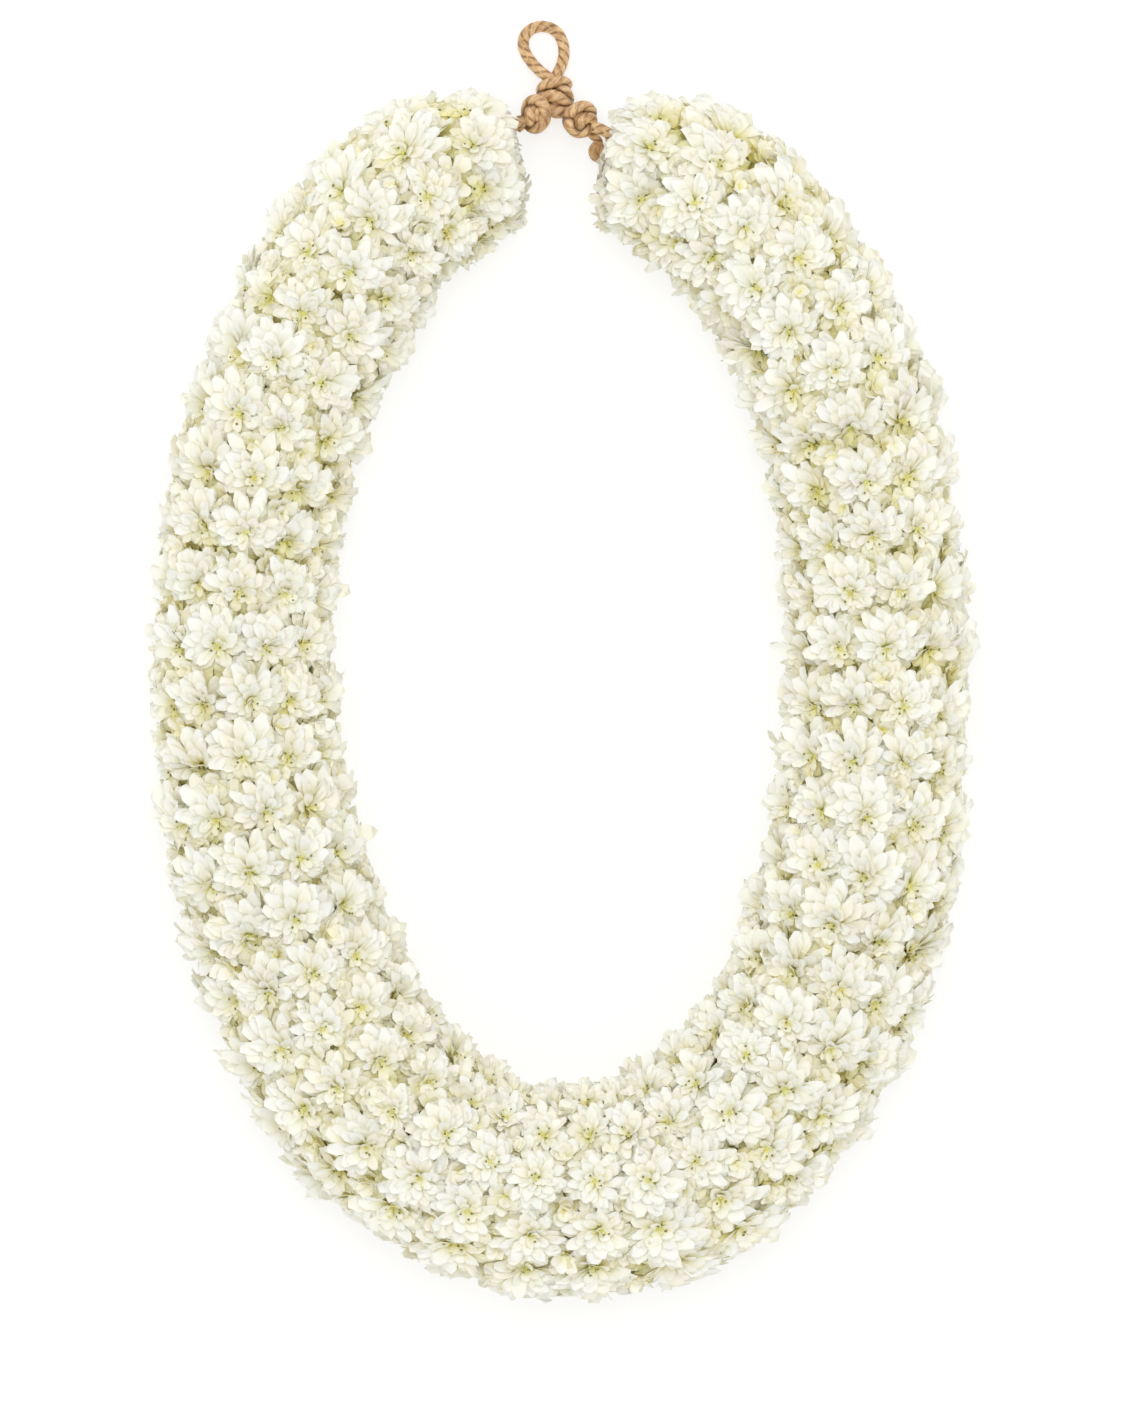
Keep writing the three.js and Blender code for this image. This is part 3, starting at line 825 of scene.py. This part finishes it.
# The heart of a bloom is a low yellow green button that the loose inner petals hide. Round it and
# between those petals stand three yellow stamens and three dry olive ones.
BUTTON = np.array([
    [0.0, 0.0, 2.4], [1.5, 0.0, 1.8], [0.75, 1.3, 1.8], [-0.75, 1.3, 1.8], [-1.5, 0.0, 1.8],
    [-0.75, -1.3, 1.8], [0.75, -1.3, 1.8], [0.0, 0.0, 0.4],
])
BUTTON_FACES = [[0, 1 + k, 1 + (k + 1) % 6] for k in range(6)]
BUTTON_FACES += [[7, 1 + (k + 1) % 6, 1 + k] for k in range(6)]
STAMEN = np.array([
    [0.58, 0.0, 0.0], [0.0, 0.58, 0.0], [-0.58, 0.0, 0.0], [0.0, -0.58, 0.0],
    [0.0, 0.0, 0.7], [0.0, 0.0, -0.7],
])
STAMEN_FACES = [[k, (k + 1) % 4, 4] for k in range(4)] + [[(k + 1) % 4, k, 5] for k in range(4)]
STAMENS = 6
STAMEN_RING = (0.9, 3.4)
STAMEN_LEVEL = (4.2, 6.2)
STAMEN_TURN_SPREAD = 0.6

# Inside a ring the calyxes and short stems crowd together round the cord. They are one rough
# green body here, seen only in the gaps between the blooms.
MIDDLE_SIDES = 22
MIDDLE_SECTION = (
    (-0.51, 0.12), (-0.51, 0.68), (-0.15, 0.72), (0.20, 0.72), (0.51, 0.68), (0.51, 0.12),
)
MIDDLE_UNEVENNESS = 1.2


def green_middle(middle, chance):
    """A closed ring round the cord: a six-cornered section of shares of the pitch and of the
    rope's radius, turned about the rope, with a little random height at each point."""
    around = 2 * np.pi * np.arange(MIDDLE_SIDES) / MIDDLE_SIDES
    rows = []
    for shift, share in MIDDLE_SECTION:
        along = np.full(MIDDLE_SIDES, middle + shift * ring_pitch)
        uneven = chance.uniform(-MIDDLE_UNEVENNESS, MIDDLE_UNEVENNESS, MIDDLE_SIDES)
        rows.append(on_rope(along, around, share * rope_radius(along) + uneven * share)[0])
    number = np.arange(len(rows) * MIDDLE_SIDES).reshape(len(rows), MIDDLE_SIDES)
    beyond = np.roll(number, -1, 0)
    faces = np.stack([number, beyond, np.roll(beyond, -1, 1), np.roll(number, -1, 1)], -1)
    return np.concatenate(rows), faces.reshape(-1, 4)


# How deep a point lies between the petals sets its tint: yellower and darker deeper down, partly the
# flowers' own colour and partly painted warm shade. A whole ring, petals, hearts and green middle, is
# gathered into one mesh with a material for each of its four living surfaces.
DEEPEST = 16.0
END_FACE_PROUD = 2.0


def depth_in_rope(points, along):
    """How deep points near a ring lie under the petal tips, as a share of the deepest: the rope's
    radius less the distance from a straight line through the ring's middle, or the way to the
    rope's end if that is less."""
    middle, ahead, _ = rope_frame(np.array(float(along)))
    offset = points - middle
    past = offset @ ahead
    radius = np.linalg.norm(offset - past[:, None] * ahead, axis=1)
    to_end = np.minimum(along + past, rope_length - along - past) + END_FACE_PROUD
    return np.clip(np.minimum(rope_radius(along + past) - radius, to_end) / DEEPEST, 0, 1)


class Parts:
    """Points, faces and petal values of one ring, gathered batch by batch."""

    def __init__(self):
        """Nothing is gathered yet."""
        self.points, self.loops, self.sizes, self.kinds, self.border = [], [], [], [], []
        self.values = dict(petal_reach=[], petal_across=[], petal_tone=[])
        self.count = 0

    def add(self, points, faces, kind, reach=0.0, across=0.0, tone=0.5, border=False):
        """points is an array of copies by points of one copy; faces is one copy's, all alike."""
        copies, each = points.shape[:2]
        shift = self.count + each * np.arange(copies)[:, None, None]
        self.loops.append((np.asarray(faces)[None] + shift).reshape(-1))
        self.sizes.append(np.full(copies * len(faces), len(faces[0])))
        self.kinds.append(np.full(copies * len(faces), kind))
        self.points.append(points.reshape(-1, 3))
        for store, value in zip((*self.values.values(), self.border), (reach, across, tone, border)):
            store.append(np.broadcast_to(np.asarray(value, float), (copies, each)).reshape(-1))
        self.count += copies * each

    def piece(self, name, middle, materials):
        """One object of all that was gathered. An edge between two border points is sharp."""
        mesh = bpy.data.meshes.new(name)
        points = np.vstack(self.points)
        loops, sizes = np.concatenate(self.loops), np.concatenate(self.sizes)
        mesh.vertices.add(len(points))
        mesh.vertices.foreach_set("co", (points * MM).astype(np.float32).reshape(-1))
        mesh.loops.add(len(loops))
        mesh.loops.foreach_set("vertex_index", loops.astype(np.int32))
        mesh.polygons.add(len(sizes))
        mesh.polygons.foreach_set("loop_start", (np.cumsum(sizes) - sizes).astype(np.int32))
        mesh.polygons.foreach_set("material_index", np.concatenate(self.kinds).astype(np.int32))
        mesh.update(calc_edges=True)
        mesh.polygons.foreach_set("use_smooth", np.ones(len(sizes), bool))
        values = {key: np.concatenate(store) for key, store in self.values.items()}
        keep_on_points(mesh, **values, petal_deep=depth_in_rope(points, middle))
        ends = np.empty(2 * len(mesh.edges), np.int32)
        mesh.edges.foreach_get("vertices", ends)
        sharp = (np.concatenate(self.border) > 0.5)[ends.reshape(-1, 2)].all(1)
        mesh.attributes.new("sharp_edge", "BOOLEAN", "EDGE").data.foreach_set("value", sharp)
        for material in materials:
            mesh.materials.append(material)
        mesh.update()
        return into_scene(name, mesh)


def into_place(local, blooms):
    """Points in the blooms' own frames, an array of blooms by copies by points by three, set in the
    lei: each distance times the bloom's size, laid off along its axis from the bloom's heart."""
    stretched = local * blooms["size"][:, None, None, :]
    return blooms["heart"][:, None, None] + np.einsum("bcpk,bkj->bcpj", stretched, blooms["axes"])


def astray(chance, spread, count):
    """Drawn lengths in millimetres, by a bell curve that is cut off at twice its spread."""
    return np.clip(chance.normal(0, spread, count), -2 * spread, 2 * spread)


def bloom_frames(middle, around, twists, chance):
    """Heart, axes and size of each bloom of a ring. A heart lies deeper by the square of the sine of
    its angle round the rope. A bloom's axis tilts down the lei, up from the table and a little at
    random. Where the rope bends, blooms on its inside are drawn together."""
    count = len(around)
    lean = uphill(np.array(middle), around)
    along = middle - BLOOM_SHIFT * lean + astray(chance, ASTRAY_ALONG, count)
    around = around + astray(chance, ASTRAY_ROUND, count) / rope_radius(middle)
    radius = rope_radius(along)
    depth = HEART_DEPTH + np.clip(chance.normal(0, ASTRAY_DEEP, count), *DEPTH_LIMITS)
    depth = depth + DEEPER_AT_SIDES * np.sin(around) ** 2
    depth = depth - BOTTOM_PROUD * np.sin(np.pi * middle / rope_length) ** 8
    from_corner = (rope_length - middle) / (RIGHT_CORNER_RINGS * ring_pitch)
    inner_side = np.maximum(0, np.sin(around)) ** 2
    depth = depth + RIGHT_CORNER_IN * inner_side * np.exp(-(from_corner**2))
    heart, ahead, side, out = on_rope(along, around, radius - depth)
    below = on_rope(along - ring_pitch / 2, around, radius)[0]
    above = on_rope(along + ring_pitch / 2, around, radius)[0]
    room = np.linalg.norm(above - below, axis=1) / ring_pitch
    tilt = BLOOM_TILT * lean + chance.normal(0, ASTRAY_TILT, count)
    sway = BLOOM_UPTURN * np.sin(around) + chance.normal(0, ASTRAY_TILT, count)
    out, ahead = turned(out, ahead, tilt)
    out, side = turned(out, side, sway)
    whole = radius / (count * BLOOM_WIDTH / 2 / np.pi) * chance.normal(1.0, BLOOM_SIZE_SPREAD, count)
    whole = whole * BLOOM_FULLNESS
    stretch = room ** np.where(room > 1, SPREAD_BY_ROOM, DRAWN_IN_BY_ROOM)
    return dict(heart=heart, axes=np.stack([ahead, side, out], 1),
                size=np.stack([whole * stretch, whole, whole], 1),
                lean=lean, sideways=np.sin(around) ** 2, twist=twists * 2 * np.pi)


def drawn_edge(chance, shape, wave, tip_drawn_in, tip_round, notch):
    """How each petal's end is frilled, drawn in, rounded and notched, evenly between two limits."""
    return dict(
        wave=chance.uniform(*wave, shape),
        wave_start=chance.uniform(0, 2 * np.pi, shape),
        tip_drawn_in=chance.uniform(*tip_drawn_in, shape),
        tip_round=chance.uniform(*tip_round, shape),
        notch=chance.uniform(*notch, shape),
    )


def layer_petals(layer, blooms, chance):
    """One layer of petals, set evenly round the heart and then a little astray. They are longer and
    wider where they point up the lei, droop more where they point down it, and are rolled more at
    its sides."""
    shape = (len(blooms["heart"]), layer["count"])
    step = 2 * np.pi / layer["count"]
    azimuth = blooms["twist"][:, None] + step * (np.arange(layer["count"]) + layer["start"])
    azimuth = azimuth + chance.normal(0, AZIMUTH_SPREAD * step, shape)
    up = np.cos(azimuth) * blooms["lean"][:, None]
    rolled = ROLLED + ROLLED_AT_SIDES * blooms["sideways"][:, None]
    return dict(
        azimuth=azimuth,
        length=layer["length"] * (1 + layer["reach_up"] * up) * chance.normal(1, PETAL_SIZE_SPREAD, shape),
        width=layer["width"] * (1 + WIDER_ABOVE * up) * chance.normal(1, PETAL_SIZE_SPREAD, shape),
        foot=layer["foot"],
        foot_height=layer["foot_height"],
        rise=layer["rise"] + chance.normal(0, RISE_SPREAD, shape),
        droop=layer["droop"] + layer["droop_down"] * np.minimum(0, up)
        + chance.normal(0, layer["loose"], shape),
        cup=layer["cup"] + chance.normal(0, CUP_SPREAD, shape),
        crease=layer["crease"],
        roll=chance.normal(0, 1, shape) * rolled,
        **drawn_edge(chance, shape, **BLOOM_PETAL_EDGE),
    )


def set_in_place(parts, local, blooms, kind, **values):
    """Adds copies from the blooms' own frames to a ring, pressed where they reach the table."""
    placed = pressed_flat(into_place(local, blooms))
    parts.add(placed.reshape(-1, *placed.shape[2:]), kind=kind, **values)


def stamen_points(blooms, chance):
    """Six stamens for each bloom, in a loose ring round its button and at drawn heights."""
    spots = blooms["twist"][:, None] + 2 * np.pi * np.arange(STAMENS) / STAMENS
    spots = spots + chance.normal(0, STAMEN_TURN_SPREAD, spots.shape)
    away = chance.uniform(*STAMEN_RING, spots.shape)
    level = chance.uniform(*STAMEN_LEVEL, spots.shape)
    feet = np.stack([away * np.cos(spots), away * np.sin(spots), level], -1)
    return feet[:, :, None] + STAMEN


# Where four blooms meet, half opened buds and stray petals are crowded between them. They are
# looser petals that stand up from the valley.
FILLER_PETALS = 18
FILLER_DEPTH = 8.8
FILLER_SIZE = 1.24
FILLER_RISE = (0.5, 1.6)
FILLER_RISE_POWER = 0.7
FILLER_ASTRAY = 1.0
FILLER_TURN_SPREAD = 0.6
FILLER_REACH = (0.2, 0.6)
FILLER_TONE = (0.3, 1)
FILLER_PETAL_EDGE = dict(
    wave=(0.03, 0.08), tip_drawn_in=(0.28, 0.42), tip_round=(0.06, 0.12), notch=(0.02, 0.10)
)


def filler_frames(middle, around, chance):
    """Frames of the crowded petals: half a pitch further along the rope than a ring's blooms and
    half way between two of them round it."""
    count = len(around)
    lean = uphill(np.array(middle), around)
    along = middle + 0.5 * ring_pitch - BLOOM_SHIFT * lean + chance.normal(0, FILLER_ASTRAY, count)
    along = np.clip(along, END_FACE_PROUD, rope_length - END_FACE_PROUD)
    between = around + np.pi / count + chance.normal(0, FILLER_ASTRAY, count) / rope_radius(middle)
    heart, ahead, side, out = on_rope(along, between, rope_radius(along) - FILLER_DEPTH)
    size = np.full((count, 3), FILLER_SIZE)
    return dict(heart=heart, axes=np.stack([ahead, side, out], 1), size=size)


def filler_petals(count, chance):
    """The crowded petals of so many valleys. They rise at drawn angles, more of them upright than
    flat, and each droops from its own angle."""
    shape = (count, FILLER_PETALS)
    step = 2 * np.pi / FILLER_PETALS
    flattest, steepest = FILLER_RISE
    rise = flattest + (steepest - flattest) * chance.uniform(0, 1, shape) ** FILLER_RISE_POWER
    return dict(
        azimuth=step * (np.arange(FILLER_PETALS) + chance.normal(0, FILLER_TURN_SPREAD, shape)),
        length=chance.uniform(5.8, 9.4, shape),
        width=chance.uniform(3.7, 5.0, shape),
        foot=chance.uniform(-0.9, 2.2, shape),
        foot_height=0.0,
        rise=rise,
        droop=rise - chance.uniform(0.5, 1.1, shape),
        cup=0.14,
        crease=0.02,
        roll=chance.normal(0, 0.3, shape),
        **drawn_edge(chance, shape, **FILLER_PETAL_EDGE),
    )


# The two ends of the rope are closed by a few blooms that face the gap under the tie. They stand
# round the cord in a circle and lean outwards.
END_BLOOMS = 7
END_BLOOM_CIRCLE = 13.5
END_BLOOM_TURN = 1.05
END_BLOOM_TURN_SPREAD = 0.12
END_BLOOM_STEP = -2.2
END_BLOOM_SIZE = 0.84


def end_blooms(along, endward, chance):
    """Frames of the blooms on an end face. endward is 1 where the rope runs
    out of the face, and -1 where it starts from it."""
    around = 2 * np.pi * (np.arange(END_BLOOMS) + chance.uniform(0, 1)) / END_BLOOMS
    places = np.full(END_BLOOMS, along)
    heart, ahead, side, out = on_rope(places, around, np.full(END_BLOOMS, END_BLOOM_CIRCLE))
    heart = heart + ahead * endward * END_BLOOM_STEP
    turn = END_BLOOM_TURN + chance.normal(0, END_BLOOM_TURN_SPREAD, END_BLOOMS)
    face = turned(ahead * endward, out, turn)[1]
    up = unit(np.cross(side, face))
    size = np.repeat(chance.normal(END_BLOOM_SIZE, BLOOM_SIZE_SPREAD, END_BLOOMS)[:, None], 3, 1)
    return dict(heart=heart, axes=np.stack([up, side, face], 1), size=size,
                lean=np.zeros(END_BLOOMS), sideways=np.full(END_BLOOMS, 0.5),
                twist=chance.uniform(0, 2 * np.pi, END_BLOOMS))


# The rings are threaded one after another: the blooms in their six layers, the crowded petals
# between them, the buttons and stamens, and the green middle. The order fixes the random draws.
RING_SEED = 9000
leaf = dict(faces=petal_faces, across=petal_u[None], border=petal_border[None])
for ring, (middle, around, twists) in enumerate(ring_blooms()):
    chance = np.random.default_rng(RING_SEED + ring)
    blooms = bloom_frames(middle, around, twists, chance)
    if ring in (0, RING_COUNT - 1):
        closing = end_blooms(rope_length * (ring > 0), 1 if ring > 0 else -1, chance)
        blooms = {key: np.concatenate([blooms[key], closing[key]]) for key in blooms}
    count = len(blooms["heart"])
    parts = Parts()
    for layer in LAYERS:
        petals = petal_points(layer_petals(layer, blooms, chance))
        tone = chance.uniform(0, 1, (count * layer["count"], 1))
        length_share = LEAST_REACH + (1 - LEAST_REACH) * layer["length"] / FULL_REACH_LENGTH
        # Lower layers reach less far along the colour ramp: creamier, partly their own colour and partly
        # painted warm shade.
        reach = petal_v[None] * length_share * (1 - layer["creamy_tint_and_shade"])
        set_in_place(parts, petals, blooms, WHITE, reach=reach, tone=tone, **leaf)
    crowded = filler_frames(middle, around, chance)
    petals = petal_points(filler_petals(len(around), chance))
    tone = chance.uniform(*FILLER_TONE, (len(around) * FILLER_PETALS, 1))
    reach = FILLER_REACH[0] + FILLER_REACH[1] * petal_v[None]
    set_in_place(parts, petals, crowded, WHITE, reach=reach, tone=tone, **leaf)
    set_in_place(parts, BUTTON[None, None], blooms, YELLOW, faces=BUTTON_FACES)
    stamens = stamen_points(blooms, chance)
    set_in_place(parts, stamens[:, ::2], blooms, YELLOW, faces=STAMEN_FACES)
    set_in_place(parts, stamens[:, 1::2], blooms, OLIVE, faces=STAMEN_FACES)
    green_points, green_faces = green_middle(middle, chance)
    parts.add(pressed_flat(green_points)[None], green_faces, GREEN)
    piece = parts.piece("blooms_of_ring_%02d" % (ring + 1), middle, bloom_finishes)
    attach(piece, "root")
    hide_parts("bloom_ring_%02d" % (ring + 1))


# The floor is a smooth pale sheet that runs far past the picture's edges. It glows a little, so
# that it looks as evenly lit as the photo's.
FLOOR_HALF = 6.0
floor_mesh = bpy.data.meshes.new("pale_floor")
floor_corners = [(-FLOOR_HALF, -FLOOR_HALF, 0), (FLOOR_HALF, -FLOOR_HALF, 0),
                 (FLOOR_HALF, FLOOR_HALF, 0), (-FLOOR_HALF, FLOOR_HALF, 0)]
floor_mesh.from_pydata(floor_corners, [], [(0, 1, 2, 3)])
floor = into_scene("pale_floor", floor_mesh)
floor_finish, floor_tree = bare_material("pale_floor")
shade(floor_tree, {"Base Color": (0.42, 0.42, 0.42, 1), "Roughness": 0.9,
                   "Emission Color": (1, 1, 1, 1), "Emission Strength": 0.62})
floor_mesh.materials.append(floor_finish)

# Soft studio light: an even white surround, and one broad square lamp nearly over the lei, a
# little towards the tie, so that hardly a shadow shows from above.
SURROUND_STRENGTH = 0.86
world = bpy.data.worlds.new("even_surround")
world.use_nodes = True
world.node_tree.nodes["Background"].inputs[0].default_value = (1, 1, 1, 1)
world.node_tree.nodes["Background"].inputs[1].default_value = SURROUND_STRENGTH
bpy.context.scene.world = world
lamp = bpy.data.lights.new("lamp_over_the_lei", "AREA")
lamp.size = 1.2
lamp.energy = 20
lamp_holder = into_scene("lamp_over_the_lei", lamp)
lamp_holder.location = (0.0, 0.45, 2.6)
lamp_holder.rotation_euler = (-lamp_holder.location).to_track_quat("-Z", "Y").to_euler()

# The Standard view keeps white petals white. Light is passed on often from petal to petal, so
# that the gaps between them are yellow rather than black.
bpy.context.scene.view_settings.view_transform = "Standard"
bpy.context.scene.cycles.max_bounces = 12
bpy.context.scene.cycles.diffuse_bounces = 10
